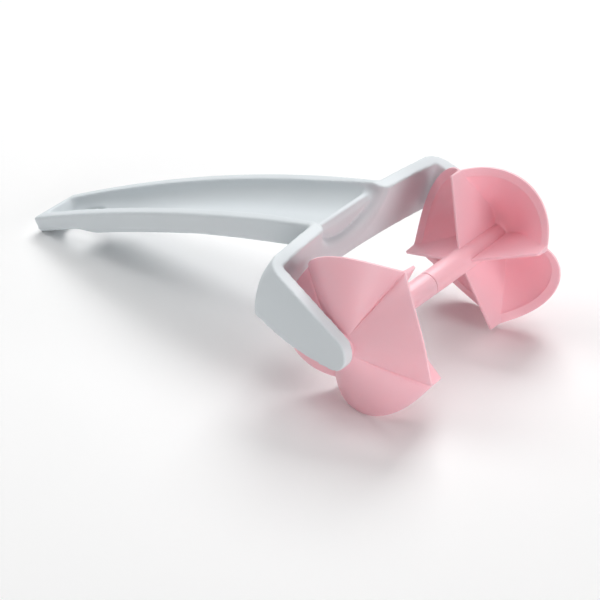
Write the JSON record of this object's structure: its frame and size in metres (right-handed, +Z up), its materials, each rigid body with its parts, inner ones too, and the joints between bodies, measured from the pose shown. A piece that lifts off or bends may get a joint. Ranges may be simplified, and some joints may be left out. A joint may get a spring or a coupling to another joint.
{
  "type": "pastry wheel",
  "caption": "Plastic pastry wheel: an arched tray-shaped handle with a fork that carries a free-turning roller with petal-edged cutting wheels at its ends.",
  "frame": {"origin": "centre of the footprint, on the table the tool lies on", "axes": "+X from the hanging end of the handle to the wheels, +Y along the axle to the left wheel, +Z up"},
  "size_m": [0.2065, 0.114, 0.06],
  "materials": {
    "handle_plastic": "satin",
    "roller_plastic": "satin"
  },
  "bodies": {
    "handle": {"handle_fork": "handle_plastic"},
    "roller": {"left_cutter": "roller_plastic", "right_cutter": "roller_plastic"}
  },
  "joints": [
    {"name": "roller_spin", "type": "hinge", "parent": "handle", "child": "roller", "pos_m": [0.07327, 0, 0.03], "axis": [0, 1, 0], "continuous": true}
  ]
}
